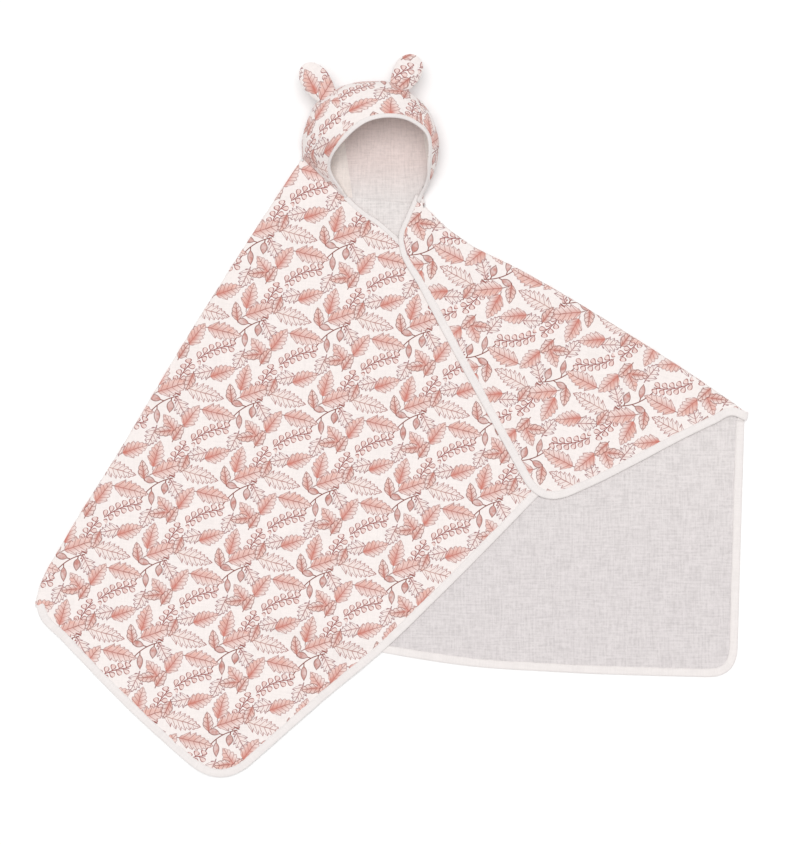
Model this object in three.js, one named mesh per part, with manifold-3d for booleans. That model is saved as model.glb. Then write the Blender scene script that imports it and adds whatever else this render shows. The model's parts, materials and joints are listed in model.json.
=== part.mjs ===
// A hooded baby towel, laid on its back with both fronts folded over it, the right one on top.
// Millimetres. +Z is up, +Y points to the crown of the hood, and the underside lies on z = 0.
import * as THREE from "three";
import { mergeVertices } from "three/addons/utils/BufferGeometryUtils.js";
import Module from "manifold-3d";

const wasm = await Module();
wasm.setup();

// Cloth, and the tape that binds its edges.
const cloth = 1;
const gap = 0.3;
const tape = 0.6;
const bindingWidth = 12;
const cornerRadius = 45;
const hemBowRadius = 900;
const tapeToCloth = tape + gap;
const layerPitch = cloth + gap;
const levelHeight = 2 * tapeToCloth + cloth + layerPitch;
const levelPitch = levelHeight + gap;

// The folded plan. The neck seam runs from neckLeft to rimLeft, then to neckRight.
const neckLeft = { x: -129, y: 372 };
const rimLeft = { x: -65, y: 311 };
const neckRight = { x: 50, y: 302 };
const leftFoldFoot = { x: -516, y: -275 };
const leftHingeHead = { x: -69, y: 305.5 };
const leftHingeFoot = { x: -508, y: -283 };
const lowerLeft = { x: -248, y: -547 };
const upperLeft = { x: 240, y: -90 };
const leftThroat = { x: 6, y: 255 };
const rightThroat = { x: 9, y: 245 };
const upperRight = { x: 216, y: -135 };
const rightFoldFoot = { x: 515, y: 4 };
const lowerRight = { x: 502, y: -382 };
const hemMiddle = { x: 90, y: -360 };

// The hood, lying on its back.
const hoodCentre = { x: -29, y: 385 };
const hoodHalfWidth = 99;
const hoodHalfLength = 98;
const hoodHeight = 92;
const neckHeight = 12;
const hoodCloth = 1.2;
const hoodTilt = THREE.MathUtils.degToRad(8);
const gussetHalfWidth = 57;
const gussetMiddle = 21;
const rimRadius = 4;
const rimSteps = 28;
const rimPlan = [
  [-65, 311],
  [-92, 360],
  [-69, 400],
  [-15, 432],
  [38, 425],
  [58, 375],
  [34, 305],
];
const openingFloor = 8;
const openingSlope = 0.31;

// The ears.
const earHalfWidth = 20;
const earHalfLength = 27;
const earHalfThickness = 8;
const earCloth = 0.9;
const earHeight = 48;
const leftEar = { x: -93, y: 462, lean: 37 };
const rightEar = { x: 14, y: 478, lean: -30 };

const printedMuslin = { color: 0xf0cfc4, roughness: 0.95, metalness: 0 };
const whiteMuslin = { color: 0xf0ecea, roughness: 0.95, metalness: 0 };
const whiteTape = { color: 0xf7f4f3, roughness: 0.9, metalness: 0 };
const wadding = { color: 0xfafafa, roughness: 1, metalness: 0 };

const towel = new THREE.Group();

// Solids and meshes.

function solid(geometry) {
  const bare = geometry.clone();
  bare.deleteAttribute("normal");
  bare.deleteAttribute("uv");
  const merged = mergeVertices(bare, 1e-4);
  return new wasm.Manifold(
    new wasm.Mesh({
      numProp: 3,
      vertProperties: merged.attributes.position.array,
      triVerts: new Uint32Array(merged.index.array),
    }),
  );
}

function addPiece(name, body, look) {
  const { vertProperties, triVerts } = body.getMesh();
  const geometry = new THREE.BufferGeometry();
  geometry.setAttribute("position", new THREE.BufferAttribute(vertProperties, 3));
  geometry.setIndex(new THREE.BufferAttribute(triVerts, 1));
  geometry.computeVertexNormals();
  const mesh = new THREE.Mesh(geometry, new THREE.MeshStandardMaterial(look));
  mesh.name = name;
  towel.add(mesh);
}

// A cut through thin cloth can leave crumbs beside the panel.
const withoutCrumbs = (body) => body.decompose().sort((a, b) => b.volume() - a.volume())[0];

// Flat outlines run anticlockwise. Each edge starts at its own corner, and moves inwards by its inset.

function insetOutline(corners, insets) {
  const count = corners.length;
  const edges = corners.map((from, i) => {
    const to = corners[(i + 1) % count];
    const along = new THREE.Vector2(to.x - from.x, to.y - from.y).normalize();
    const inward = new THREE.Vector2(-along.y, along.x);
    const point = new THREE.Vector2(from.x, from.y).addScaledVector(inward, insets[i]);
    return { point, along };
  });
  return corners.map(({ radius = 0 }, i) => {
    const before = edges[(i + count - 1) % count];
    const after = edges[i];
    const reach = after.point.clone().sub(before.point).cross(after.along);
    const at = before.point.clone();
    at.addScaledVector(before.along, reach / before.along.cross(after.along));
    return { x: at.x, y: at.y, radius: radius > 0 ? Math.max(radius - insets[i], 0) : 0 };
  });
}

function roundedShape(corners) {
  const count = corners.length;
  const shape = new THREE.Shape();
  corners.forEach((corner, i) => {
    const at = new THREE.Vector2(corner.x, corner.y);
    const towards = (other) => new THREE.Vector2(other.x, other.y).sub(at).normalize();
    const back = towards(corners[(i + count - 1) % count]);
    const on = towards(corners[(i + 1) % count]);
    const halfAngle = Math.acos(back.dot(on)) / 2;
    const trim = corner.radius / Math.tan(halfAngle);
    const start = at.clone().addScaledVector(back, trim);
    const end = at.clone().addScaledVector(on, trim);
    if (i === 0) shape.moveTo(start.x, start.y);
    else shape.lineTo(start.x, start.y);
    if (trim > 0) shape.quadraticCurveTo(at.x, at.y, end.x, end.y);
  });
  return shape;
}

function slab(corners, bottom, top) {
  const settings = { depth: top - bottom, bevelEnabled: false, curveSegments: 6 };
  const geometry = new THREE.ExtrudeGeometry(roundedShape(corners), settings);
  return solid(geometry.translate(0, 0, bottom));
}

// A leaf of the towel: its corners, and for each edge whether it is bound with tape.

const round = (point, radius = cornerRadius) => ({ ...point, radius });

const backLeaf = {
  corners: [
    neckLeft,
    leftFoldFoot,
    round(hemMiddle, hemBowRadius),
    round(lowerRight),
    rightFoldFoot,
    neckRight,
    rimLeft,
  ],
  bound: [false, true, true, true, false, false, false],
};
const leftLeaf = {
  corners: [leftHingeHead, leftHingeFoot, round(lowerLeft), round(upperLeft), leftThroat],
  bound: [false, true, true, true, true],
};
const rightLeaf = {
  corners: [neckRight, rightThroat, round(upperRight), rightFoldFoot],
  bound: [true, true, true, false],
};

// The outline of a leaf, with one inset for its bound edges and one for its folded or sewn edges.
const leafOutline = ({ corners, bound }, boundInset, plainInset) =>
  insetOutline(
    corners,
    bound.map((isBound) => (isBound ? boundInset : plainInset)),
  );

// Folded tape over the edge of both cloths: a C in section, open towards the cloth.
function hemBinding(leaf, bottom, plainInset) {
  const top = bottom + levelHeight;
  const beyond = -2 * bindingWidth;
  const whole = slab(leafOutline(leaf, 0, plainInset), bottom, top);
  const field = slab(leafOutline(leaf, bindingWidth, beyond), bottom - gap, top + gap);
  const slot = slab(leafOutline(leaf, tape, beyond), bottom + tape, top - tape);
  return whole.subtract(field).subtract(slot);
}

const clothPanel = (leaf, bottom, plainInset) =>
  slab(leafOutline(leaf, tapeToCloth, plainInset), bottom, bottom + cloth);

// The back: printed outer cloth underneath, white lining on top. The fold along its left side
// holds the strip of the left front that stays sewn to the hood.
function addBack() {
  const outerTop = tapeToCloth + cloth;
  const field = slab(leafOutline(backLeaf, bindingWidth + gap, layerPitch), 0, outerTop);
  const tongue = clothPanel(backLeaf, tapeToCloth, layerPitch);
  addPiece("back_outer_panel", field.add(tongue), printedMuslin);
  const liningBottom = outerTop + gap;
  addPiece("back_lining_panel", clothPanel(backLeaf, liningBottom, 2 * layerPitch), whiteMuslin);
  addPiece("back_hem_binding", hemBinding(backLeaf, 0, 2 * layerPitch), whiteTape);
}

// The strip between the left fold and the left hinge, with the crease that joins it to the back.
function foldStrip(foldInset, bottom, top) {
  const corners = [neckLeft, leftFoldFoot, leftHingeFoot, rimLeft];
  const strip = insetOutline(corners, [foldInset, 0, gap / 2, gap / 2]);
  const crease = insetOutline(
    [neckLeft, leftFoldFoot, strip[2], strip[3]],
    [foldInset, 0, 0, gap / 2],
  );
  const inner = insetOutline(crease, [cloth, -gap, 0, -gap]);
  const upper = slab(strip, top - cloth, top);
  const wall = slab(crease, bottom, top - cloth / 2);
  return upper.add(wall.subtract(slab(inner, bottom - gap, top)));
}

function addLeftFold() {
  const liningTop = levelPitch + tapeToCloth + cloth;
  const outerTop = liningTop + layerPitch;
  const liningBottom = tapeToCloth + layerPitch;
  addPiece("left_fold_outer_panel", foldStrip(0, 0, outerTop), printedMuslin);
  addPiece("left_fold_lining_panel", foldStrip(layerPitch, liningBottom, liningTop), whiteMuslin);
}

// A front, folded over: its lining is below and its printed cloth on top.
function addFront(side, leaf, level) {
  const bottom = level * levelPitch;
  const liningBottom = bottom + tapeToCloth;
  const halfGap = gap / 2;
  addPiece(`${side}_front_lining_panel`, clothPanel(leaf, liningBottom, halfGap), whiteMuslin);
  const outerBottom = liningBottom + layerPitch;
  addPiece(`${side}_front_outer_panel`, clothPanel(leaf, outerBottom, halfGap), printedMuslin);
  addPiece(`${side}_front_binding`, hemBinding(leaf, bottom, halfGap), whiteTape);
}

// The hood: a rounded bag that is flat at the neck and full at the crown.

function heightAt(lengthwise) {
  const fullness = THREE.MathUtils.smoothstep(lengthwise, -0.9, 0.1);
  return THREE.MathUtils.lerp(neckHeight, hoodHeight, fullness);
}

function hoodPoint(x, y, z, inset) {
  return new THREE.Vector3(
    hoodCentre.x + (hoodHalfWidth - inset) * x,
    hoodCentre.y + (hoodHalfLength - inset) * y,
    inset + ((heightAt(y) - 2 * inset) * (z + 1)) / 2,
  );
}

function hoodBag(inset) {
  const geometry = new THREE.SphereGeometry(1, 32, 20);
  const { position } = geometry.attributes;
  for (let i = 0; i < position.count; i += 1) {
    const at = hoodPoint(position.getX(i), position.getY(i), position.getZ(i), inset);
    position.setXYZ(i, at.x, at.y, at.z);
  }
  return solid(geometry);
}

// The rim of the face opening follows the top of the bag, midway between the two cloths.
function rimCurve() {
  const points = rimPlan.map(([planX, planY]) => {
    const x = (planX - hoodCentre.x) / hoodHalfWidth;
    const y = (planY - hoodCentre.y) / hoodHalfLength;
    const z = Math.sqrt(Math.max(1 - x * x - y * y, 0));
    return hoodPoint(x, y, z, 0).setX(planX).setY(planY);
  });
  return new THREE.CatmullRomCurve3(points);
}

function rimTube(radius) {
  const section = new THREE.Shape().absarc(0, 0, radius, 0, 2 * Math.PI);
  const settings = { steps: rimSteps, curveSegments: 4, extrudePath: rimCurve() };
  return solid(new THREE.ExtrudeGeometry(section, settings));
}

// What the face opening takes out of the bag: a slanted prism over the rim's plan.
function faceOpening() {
  const plan = new THREE.Shape(rimCurve().getSpacedPoints(rimSteps));
  const geometry = new THREE.ExtrudeGeometry(plan, { depth: 2 * hoodHeight, bevelEnabled: false });
  geometry.translate(0, -rimLeft.y, openingFloor);
  geometry.applyMatrix4(new THREE.Matrix4().makeShear(0, 0, 0, openingSlope, 0, 0));
  return solid(geometry.translate(0, rimLeft.y, 0));
}

// Everything on the body's side of the neck seam.
function belowNeck() {
  const reach = 3;
  const beyond = (from, through) => ({
    x: from.x + reach * (through.x - from.x),
    y: from.y + reach * (through.y - from.y),
  });
  const farLeft = beyond(rimLeft, neckLeft);
  const farRight = beyond(rimLeft, neckRight);
  const low = 0;
  const corners = [farLeft, { x: farLeft.x, y: low }, { x: farRight.x, y: low }, farRight, rimLeft];
  return slab(insetOutline(corners, corners.map(() => -gap / 2)), -gap, 2 * hoodHeight);
}

// One of the three hood panels: -1 the left side, 0 the centre gusset, 1 the right side. The hood
// lies rolled towards its right, so its gusset is off the middle.
function hoodRegion(side) {
  const length = 4 * hoodHalfLength;
  const sideWidth = length / 2;
  const width = side === 0 ? 2 * gussetHalfWidth - gap : sideWidth;
  const geometry = new THREE.BoxGeometry(width, length, length);
  geometry.translate(gussetMiddle + side * (gussetHalfWidth + sideWidth / 2), 0, 0);
  geometry.rotateZ(hoodTilt);
  return solid(geometry.translate(hoodCentre.x, hoodCentre.y, 0));
}

function addHood() {
  const cut = faceOpening().add(belowNeck()).add(rimTube(rimRadius + gap));
  const layers = [
    { name: "outer", inset: 0, look: printedMuslin },
    { name: "lining", inset: hoodCloth + gap, look: whiteMuslin },
  ];
  const panels = [
    { name: "left_panel", side: -1 },
    { name: "centre_gusset", side: 0 },
    { name: "right_panel", side: 1 },
  ];
  for (const layer of layers) {
    const shell = hoodBag(layer.inset).subtract(hoodBag(layer.inset + hoodCloth)).subtract(cut);
    for (const panel of panels) {
      const piece = withoutCrumbs(shell.intersect(hoodRegion(panel.side)));
      addPiece(`hood_${layer.name}_${panel.name}`, piece, layer.look);
    }
  }
  addPiece("hood_face_binding", rimTube(rimRadius).subtract(belowNeck()), whiteTape);
}

// An ear: two printed faces sewn round the edge, with wadding between them. Its own frame has the
// base at the origin and the tip along +Y.

function earBag(inset) {
  const geometry = new THREE.SphereGeometry(1, 16, 12);
  geometry.scale(earHalfWidth - inset, earHalfLength - inset, earHalfThickness - inset);
  return solid(geometry.translate(0, earHalfLength, 0));
}

function earHalf(facing) {
  const length = 4 * earHalfLength;
  const geometry = new THREE.BoxGeometry(length, length, length);
  return solid(geometry.translate(0, 0, (facing * (length + gap)) / 2));
}

function addEar(side, { x, y, lean }) {
  const shell = earBag(0).subtract(earBag(earCloth));
  const turn = new THREE.Matrix4().makeRotationZ(THREE.MathUtils.degToRad(lean));
  const place = turn.setPosition(x, y, earHeight).toArray();
  const pieces = [
    { name: "front", body: shell.intersect(earHalf(1)), look: printedMuslin },
    { name: "back", body: shell.intersect(earHalf(-1)), look: printedMuslin },
    { name: "wadding", body: earBag(earCloth + gap), look: wadding },
  ];
  for (const { name, body, look } of pieces) {
    addPiece(`${side}_ear_${name}`, body.transform(place), look);
  }
}

addBack();
addLeftFold();
addFront("left", leftLeaf, 1);
addFront("right", rightLeaf, 2);
addHood();
addEar("left", leftEar);
addEar("right", rightEar);

// The origin is under the middle of the whole towel.
const middle = new THREE.Box3().setFromObject(towel).getCenter(new THREE.Vector3());
towel.position.set(-middle.x, -middle.y, 0);

export default towel;
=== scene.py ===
"""A hooded baby towel of printed muslin, laid on its back with both fronts folded over it.

All lengths are in metres. Plan points are in the towel's own pattern frame, and plan() moves them
into the part's frame.
"""

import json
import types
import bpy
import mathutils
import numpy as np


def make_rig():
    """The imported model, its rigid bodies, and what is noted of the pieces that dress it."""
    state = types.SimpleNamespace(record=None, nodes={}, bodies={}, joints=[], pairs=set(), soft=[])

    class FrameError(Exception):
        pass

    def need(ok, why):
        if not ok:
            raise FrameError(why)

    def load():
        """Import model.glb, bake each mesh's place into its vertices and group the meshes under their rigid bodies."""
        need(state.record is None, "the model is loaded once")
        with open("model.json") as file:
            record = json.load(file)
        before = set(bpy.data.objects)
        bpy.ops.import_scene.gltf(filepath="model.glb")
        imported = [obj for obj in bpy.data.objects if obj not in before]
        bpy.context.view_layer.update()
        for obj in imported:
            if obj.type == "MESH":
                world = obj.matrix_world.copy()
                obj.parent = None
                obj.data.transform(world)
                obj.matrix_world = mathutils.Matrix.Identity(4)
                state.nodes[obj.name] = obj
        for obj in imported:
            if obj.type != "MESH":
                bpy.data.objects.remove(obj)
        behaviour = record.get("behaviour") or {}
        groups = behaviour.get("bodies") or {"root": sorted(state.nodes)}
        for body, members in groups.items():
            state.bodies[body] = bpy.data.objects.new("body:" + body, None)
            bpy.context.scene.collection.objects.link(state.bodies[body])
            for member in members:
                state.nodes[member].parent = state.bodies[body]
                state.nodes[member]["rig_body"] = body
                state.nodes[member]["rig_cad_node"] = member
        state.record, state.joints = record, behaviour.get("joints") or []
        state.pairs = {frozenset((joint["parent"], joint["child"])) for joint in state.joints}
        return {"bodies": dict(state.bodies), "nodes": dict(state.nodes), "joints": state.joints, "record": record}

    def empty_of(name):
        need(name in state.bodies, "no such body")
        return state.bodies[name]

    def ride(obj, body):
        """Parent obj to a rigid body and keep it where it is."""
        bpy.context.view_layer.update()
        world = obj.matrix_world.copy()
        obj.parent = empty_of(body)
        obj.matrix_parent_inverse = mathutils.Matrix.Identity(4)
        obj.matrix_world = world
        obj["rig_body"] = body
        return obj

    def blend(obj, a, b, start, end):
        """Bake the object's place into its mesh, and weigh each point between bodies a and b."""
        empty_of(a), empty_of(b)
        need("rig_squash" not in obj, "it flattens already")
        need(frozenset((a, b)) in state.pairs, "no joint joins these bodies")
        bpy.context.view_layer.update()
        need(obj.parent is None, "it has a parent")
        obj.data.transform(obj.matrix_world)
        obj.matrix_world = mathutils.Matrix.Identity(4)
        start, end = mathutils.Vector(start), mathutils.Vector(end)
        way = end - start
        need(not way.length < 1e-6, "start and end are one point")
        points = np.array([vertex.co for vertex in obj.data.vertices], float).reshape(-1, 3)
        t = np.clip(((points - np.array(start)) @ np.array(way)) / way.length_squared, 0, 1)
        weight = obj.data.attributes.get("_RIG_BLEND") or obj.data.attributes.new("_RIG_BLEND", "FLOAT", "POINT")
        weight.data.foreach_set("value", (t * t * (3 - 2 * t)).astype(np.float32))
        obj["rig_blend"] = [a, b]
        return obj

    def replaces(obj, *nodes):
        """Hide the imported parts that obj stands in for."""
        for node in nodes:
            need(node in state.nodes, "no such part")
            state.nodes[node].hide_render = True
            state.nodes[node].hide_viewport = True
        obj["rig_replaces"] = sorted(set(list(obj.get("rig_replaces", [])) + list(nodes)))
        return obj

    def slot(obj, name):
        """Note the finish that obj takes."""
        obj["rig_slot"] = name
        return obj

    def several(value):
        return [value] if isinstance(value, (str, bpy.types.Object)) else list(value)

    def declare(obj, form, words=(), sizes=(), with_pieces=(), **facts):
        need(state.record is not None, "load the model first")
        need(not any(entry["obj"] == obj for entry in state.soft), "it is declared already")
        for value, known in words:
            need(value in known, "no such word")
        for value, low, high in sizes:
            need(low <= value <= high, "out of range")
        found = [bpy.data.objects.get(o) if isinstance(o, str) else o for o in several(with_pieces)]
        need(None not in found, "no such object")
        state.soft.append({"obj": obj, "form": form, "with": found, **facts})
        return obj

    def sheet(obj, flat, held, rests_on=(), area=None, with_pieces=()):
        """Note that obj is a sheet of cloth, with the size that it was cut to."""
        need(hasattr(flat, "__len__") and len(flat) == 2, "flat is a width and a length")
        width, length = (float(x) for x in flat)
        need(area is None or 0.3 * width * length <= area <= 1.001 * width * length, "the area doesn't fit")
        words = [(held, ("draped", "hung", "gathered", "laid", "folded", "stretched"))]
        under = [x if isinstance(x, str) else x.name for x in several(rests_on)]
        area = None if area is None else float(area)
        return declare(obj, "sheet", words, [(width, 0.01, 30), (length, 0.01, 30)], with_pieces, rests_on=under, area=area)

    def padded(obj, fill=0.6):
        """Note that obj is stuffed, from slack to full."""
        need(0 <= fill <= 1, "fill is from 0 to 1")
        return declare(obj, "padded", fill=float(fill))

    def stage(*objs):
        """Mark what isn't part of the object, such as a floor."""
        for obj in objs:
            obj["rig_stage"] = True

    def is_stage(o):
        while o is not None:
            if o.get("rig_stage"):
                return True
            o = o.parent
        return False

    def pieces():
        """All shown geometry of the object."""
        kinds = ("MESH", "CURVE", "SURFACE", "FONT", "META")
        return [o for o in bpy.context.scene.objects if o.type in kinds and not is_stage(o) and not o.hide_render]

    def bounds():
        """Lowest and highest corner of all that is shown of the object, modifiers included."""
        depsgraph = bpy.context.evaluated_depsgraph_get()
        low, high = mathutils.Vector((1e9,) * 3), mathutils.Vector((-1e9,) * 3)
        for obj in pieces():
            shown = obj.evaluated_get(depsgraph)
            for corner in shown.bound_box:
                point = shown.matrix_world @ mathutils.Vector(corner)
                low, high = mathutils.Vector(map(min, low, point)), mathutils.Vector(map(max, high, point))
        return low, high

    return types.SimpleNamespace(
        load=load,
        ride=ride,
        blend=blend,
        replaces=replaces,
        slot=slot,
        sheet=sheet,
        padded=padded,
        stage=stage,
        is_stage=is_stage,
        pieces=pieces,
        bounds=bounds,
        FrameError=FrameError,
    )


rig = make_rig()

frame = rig.load()

import json
import math

import bmesh
import bpy
import numpy as np
from mathutils import Vector
from mathutils.geometry import delaunay_2d_cdt

cad_box = [list(corner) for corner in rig.bounds()]
joints = {joint["name"]: joint for joint in frame["joints"]}

# ---------------------------------------------------------------- sizes

MESH = 0.0045  # the distance between points of a flat cloth
EDGE_STEP = 0.004  # the distance between points along an edge
HOOD_STEP = 0.002  # the same along the hood's edges
CREASE_ROWS = 7  # the rows of points round a fold
CLOTH_PAIR = 0.0022  # outer cloth and lining together
BINDING_WIDTH = 0.012
BINDING_HALF = 0.0019
TAPE_WRAP = 0.03  # the distance round the folded tape
CLOTH_IN_BINDING = 0.003
SEAM_OVERLAP = 0.005
CORNER_RADIUS = 0.042
CAMERA_LENS = 120.0
CAMERA_SENSOR = 36.0
VIEW_WIDTH = 1.1513
VIEW_CENTRE = (0.0087, -0.0109)

# The pattern frame's origin, found from the left fold's hinge.
RIM_LEFT = (-0.065, 0.311)
SHIFT = np.array(joints["left_front_fold"]["pos_m"][:2]) - np.array(RIM_LEFT)


def plan(*points):
    """Plan points in the part's frame."""
    return np.array(points, float) + SHIFT


# ---------------------------------------------------------------- curves


def lengths(points):
    """How far along a path each of its points lies."""
    steps = np.linalg.norm(np.diff(points, axis=0), axis=1)
    return np.concatenate([[0.0], np.cumsum(steps)])


def smooth_path(points, step=EDGE_STEP):
    """A smooth path through points, with evenly spaced points of its own."""
    points = np.asarray(points, float)
    along = lengths(points)
    slopes = np.gradient(points, along, axis=0)
    fine = np.linspace(0, along[-1], max(int(along[-1] / (step / 3)), 8))
    k = np.clip(np.searchsorted(along, fine) - 1, 0, len(points) - 2)
    span = (along[k + 1] - along[k])[:, None]
    t = ((fine - along[k]) / (along[k + 1] - along[k]))[:, None]
    curve = (
        (2 * t**3 - 3 * t**2 + 1) * points[k]
        + (t**3 - 2 * t**2 + t) * span * slopes[k]
        + (3 * t**2 - 2 * t**3) * points[k + 1]
        + (t**3 - t**2) * span * slopes[k + 1]
    )
    return resample(curve, step)


def resample(path, step=EDGE_STEP):
    """The same path with points about one step apart."""
    along = lengths(path)
    count = max(int(round(along[-1] / step)), 2)
    even = np.linspace(0, along[-1], count + 1)
    return np.stack([np.interp(even, along, path[:, i]) for i in range(path.shape[1])], axis=1)


def trim(path, cut_start, cut_end):
    """A path without its first and last stretch."""
    along = lengths(path)
    keep = (along >= cut_start) & (along <= along[-1] - cut_end)
    return path[keep]


def join_rounded(paths, radii):
    """Joins paths end to end, with each corner between two of them rounded."""
    out = [trim(paths[0], 0, radii[0])]
    for path, radius, next_radius in zip(paths[1:], radii, list(radii[1:]) + [0]):
        path_in = trim(path, radius, next_radius)
        if radius:
            t = np.linspace(0, 1, 14)[:, None]
            start, corner, end = out[-1][-1], path[0], path_in[0]
            bend = (1 - t) ** 2 * start + 2 * t * (1 - t) * corner + t**2 * end
            out.append(bend[1:-1])
            out.append(path_in)
        else:
            out.append(path_in[1:])
    return resample(np.concatenate(out))


def unit_rows(vectors):
    """Each row as a unit vector."""
    return vectors / np.linalg.norm(vectors, axis=1)[:, None]


def inward_of(path):
    """The unit vectors that point from an edge into its cloth, which lies on its left."""
    tangent = unit_rows(np.gradient(path, axis=0))
    return np.stack([-tangent[:, 1], tangent[:, 0]], axis=1)


def distance_to_path(points, path):
    """The distance from each plan point to a path."""
    best = np.full(len(points), 1e9)
    for a, b in zip(path[:-1], path[1:]):
        ab = b - a
        t = np.clip(((points - a) @ ab) / max(ab @ ab, 1e-12), 0, 1)
        best = np.minimum(best, np.hypot(*(points - a - t[:, None] * ab).T))
    return best


def is_inside(points, loop):
    """Which plan points lie inside a closed loop."""
    x, y = points[:, 0], points[:, 1]
    inside = np.zeros(len(points), bool)
    for (x0, y0), (x1, y1) in zip(loop, np.roll(loop, -1, axis=0)):
        crosses = (y0 > y) != (y1 > y)
        if y1 != y0:
            inside ^= crosses & (x < (x1 - x0) * (y - y0) / (y1 - y0) + x0)
    return inside


def smoothstep(low, high, value):
    t = np.clip((value - low) / (high - low), 0, 1)
    return t * t * (3 - 2 * t)


def ripple(points, wavelength, seed, waves=9):
    """A soft random relief from -1 to 1, made of plane waves in all directions."""
    random = np.random.default_rng(seed)
    total = np.zeros(len(points))
    for _ in range(waves):
        turn = random.uniform(0, 2 * math.pi)
        number = 2 * math.pi / (wavelength * random.uniform(0.7, 1.5))
        phase = random.uniform(0, 2 * math.pi)
        total += np.sin(number * (points[:, :2] @ (math.cos(turn), math.sin(turn))) + phase)
    return total / math.sqrt(waves) / 1.4


# ---------------------------------------------------------------- the folded plan

NECK_LEFT = (-0.129, 0.372)
NECK_RIGHT = (0.050, 0.302)
RIM_TOP_LEFT = (-0.064, 0.318)
RIM_TOP_RIGHT = (0.036, 0.320)
LEFT_FOOT = (-0.5166, -0.277)
RIGHT_FOOT = (0.5160, -0.007)
LOWER_LEFT = (-0.245, -0.544)
LOWER_RIGHT = (0.501, -0.381)
UPPER_LEFT = (0.240, -0.090)
UPPER_RIGHT = (0.214, -0.136)
LEFT_CREASE = 0.0038
RIGHT_CREASE = 0.0042


def folded_edge(points, crease):
    """The line along which a cloth starts to turn, from the outer points of its fold."""
    outer = smooth_path(points)
    return outer + inward_of(outer) * crease


left_fold = folded_edge(
    plan(
        NECK_LEFT,
        (-0.206, 0.254),
        (-0.289, 0.123),
        (-0.393, -0.051),
        (-0.473, -0.181),
        (-0.508, -0.246),
        LEFT_FOOT,
    ),
    LEFT_CREASE,
)
right_fold = folded_edge(
    plan(
        RIGHT_FOOT,
        (0.5133, 0.0015),
        (0.506, 0.010),
        (0.4915, 0.0203),
        (0.432, 0.061),
        (0.351, 0.113),
        (0.188, 0.210),
        (0.107, 0.252),
        (0.065, 0.286),
        NECK_RIGHT,
    ),
    RIGHT_CREASE,
)
left_foot, left_shoulder = left_fold[-1], left_fold[0]
right_foot, right_shoulder = right_fold[0], right_fold[-1]
hem = smooth_path(
    [left_foot, *plan((-0.040, -0.339), (0.026, -0.351), (0.107, -0.363), (0.244, -0.3725), LOWER_RIGHT)]
)
right_side = smooth_path([*plan(LOWER_RIGHT, (0.507, -0.171)), right_foot])
left_bottom = smooth_path(
    [left_foot, *plan((-0.508, -0.293), (-0.478, -0.325), (-0.380, -0.426), (-0.299, -0.500), LOWER_LEFT)]
)
left_side = smooth_path(
    plan(LOWER_LEFT, (-0.177, -0.483), (-0.096, -0.412), (-0.0145, -0.344), (0.071, -0.262), UPPER_LEFT)
)
left_front_edge = smooth_path(
    plan(UPPER_LEFT, (0.110, 0.130), (0.006, 0.261), (-0.016, 0.280), (-0.041, 0.297), RIM_TOP_LEFT)
)
right_front_edge = smooth_path(
    plan(
        RIM_TOP_RIGHT,
        (0.023, 0.290),
        (0.011, 0.258),
        (0.014, 0.235),
        (0.039, 0.188),
        (0.087, 0.097),
        (0.144, -0.007),
        UPPER_RIGHT,
    )
)
right_bottom = smooth_path(
    [
        *plan(
            UPPER_RIGHT,
            (0.303, -0.097),
            (0.354, -0.071),
            (0.434, -0.029),
            (0.470, -0.012),
            (0.494, -0.001),
        ),
        right_foot,
    ]
)

back_bound = join_rounded([hem, right_side], [CORNER_RADIUS])
left_bound = join_rounded([left_bottom, left_side, left_front_edge], [CORNER_RADIUS * 1.35, CORNER_RADIUS])
right_bound = join_rounded([right_front_edge, right_bottom], [CORNER_RADIUS * 1.15])

neck_seam_left = smooth_path([*plan(RIM_TOP_LEFT, (-0.078, 0.330), (-0.098, 0.350)), left_shoulder])
neck_seam_back = smooth_path([right_shoulder, *plan(RIM_LEFT)]) + (0.0, SEAM_OVERLAP)
neck_seam_right = smooth_path([right_shoulder, *plan((0.044, 0.311), RIM_TOP_RIGHT)])


def inset_edge(path, depth=CLOTH_IN_BINDING):
    return path + inward_of(path) * depth


back_loop = np.concatenate([left_fold[:-1], inset_edge(back_bound), right_fold[1:-1], neck_seam_back])
left_loop = np.concatenate([inset_edge(left_bound), neck_seam_left[1:], left_fold[1:-1]])
right_loop = np.concatenate([inset_edge(right_bound), right_fold[1:], neck_seam_right[1:-1]])
left_free_loop = np.concatenate([left_bound, neck_seam_left[1:], left_fold[1:-1]])

# ---------------------------------------------------------------- the height of each layer

FLOOR_CLEARANCE = 0.0003
LAYER_CLEARANCE = 0.0007
CREASE_SPREAD = 0.022
NECK_SPREAD = 0.012
BACK_SWELL = 0.0009
PRESSED_LIFT = 0.0012  # the right front's extra height where it lies on the back

# Soft folds of the left front: each one's start and end on the plan, its width and its height.
LEFT_FRONT_FOLDS = (
    ((-0.175, -0.302), (-0.070, -0.322), 0.013, 0.0060),
    ((-0.100, -0.345), (-0.040, -0.325), 0.011, 0.0042),
    ((-0.300, -0.462), (-0.225, -0.452), 0.012, 0.0050),
    ((-0.235, -0.240), (-0.195, -0.285), 0.014, 0.0036),
)


def back_bottom(points):
    """The printed underside of the back lies on the floor, apart from soft waves."""
    wave = 0.5 + 0.5 * ripple(points, 0.15, 11)
    return FLOOR_CLEARANCE + BACK_SWELL * np.clip(wave, 0, 1)


def back_top(points):
    """The lining of the back, which lies a little higher along the neck seam."""
    at_neck = np.exp(-((distance_to_path(points, neck_seam_back) / NECK_SPREAD) ** 2))
    return back_bottom(points) + CLOTH_PAIR + BACK_SWELL * at_neck


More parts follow.
